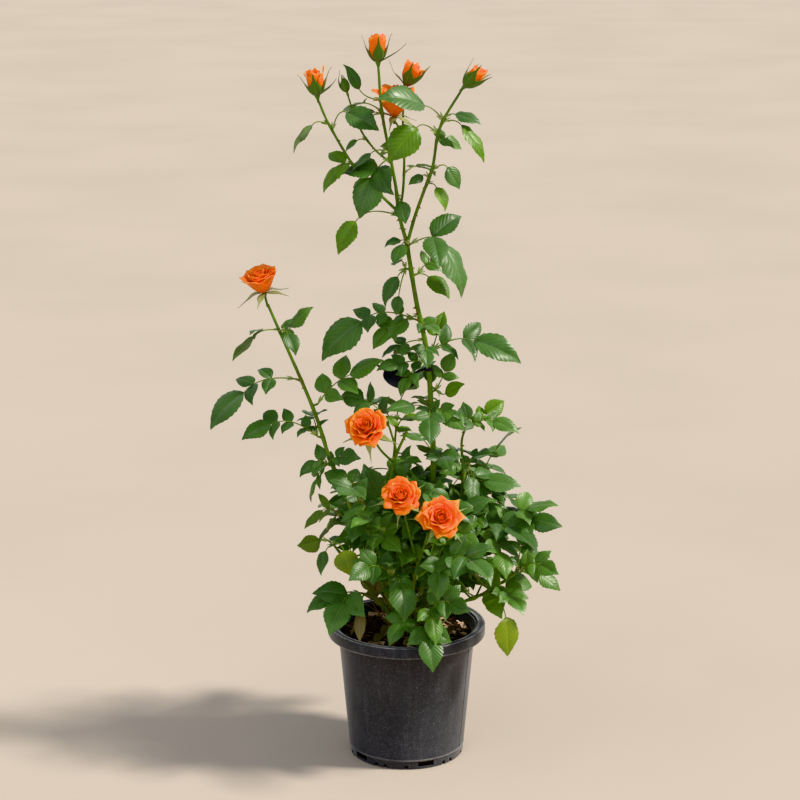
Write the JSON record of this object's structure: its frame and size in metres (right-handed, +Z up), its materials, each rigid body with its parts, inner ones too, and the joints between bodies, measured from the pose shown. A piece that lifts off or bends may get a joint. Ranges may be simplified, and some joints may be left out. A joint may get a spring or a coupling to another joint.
{
  "type": "rose bush in a nursery pot",
  "caption": "Young rose bush with orange buds and blooms, glossy compound leaves and green canes, growing in a black plastic nursery pot.",
  "frame": {"origin": "middle of the pot's flat underside, on the surface that the pot stands on", "axes": "+Z up, -Y to the side of the bush that faces the camera in the picture, +X to the right in that view"},
  "size_m": [0.5398, 0.428, 1.1479],
  "materials": {
    "pot": "matte, moulded, lightly scuffed",
    "soil": "dark bark potting mix with chips and dried litter",
    "stump": "rough grey-brown bark",
    "cane": "smooth green bark with reddish thorns",
    "leaf": "glossy green leaves, some lime, some yellow-green",
    "petal": "soft satin orange petals",
    "label": "smooth thin plastic, plain"
  },
  "bodies": {
    "root": {"pot": "pot", "soil": "soil", "stump": "stump", "main_cane": "cane", "left_cane": "cane", "centre_cane": "cane", "right_cane": "cane", "low_right_cane": "cane", "front_cane": "cane", "low_left_cane": "cane", "back_cane": "cane", "upper_middle_shoot": "leaf", "upper_right_shoot": "leaf", "upper_left_shoot": "leaf", "green_bud_shoot": "leaf", "upper_back_shoot": "leaf", "left_bloom": "petal", "centre_bloom": "petal", "front_left_bloom": "petal", "front_right_bloom": "petal", "fork_leaves": "leaf", "high_right_leaves": "leaf", "high_left_leaves": "leaf", "middle_left_leaves": "leaf", "middle_right_leaves": "leaf", "label_leaves": "leaf", "middle_low_leaves": "leaf", "whorl_leaves": "leaf", "main_low_leaves": "leaf", "left_top_leaves": "leaf", "left_high_leaves": "leaf", "left_inner_leaves": "leaf", "left_middle_leaves": "leaf", "left_low_leaves": "leaf", "right_top_leaves": "leaf", "right_middle_leaves": "leaf", "right_outer_twig": "leaf", "right_end_twig": "leaf", "right_hanging_twig": "leaf", "right_back_twig": "leaf", "front_high_twig": "leaf", "front_left_twig": "leaf", "front_low_twig": "leaf", "centre_high_twig": "leaf", "centre_left_twig": "leaf", "centre_front_twig": "leaf", "left_side_twig": "leaf", "left_end_twig": "leaf", "left_rim_twig": "leaf", "left_back_twig": "leaf", "back_high_twig": "leaf", "back_right_twig": "leaf", "back_left_twig": "leaf", "back_low_twig": "leaf", "stem_label": "label"}
  },
  "joints": []
}
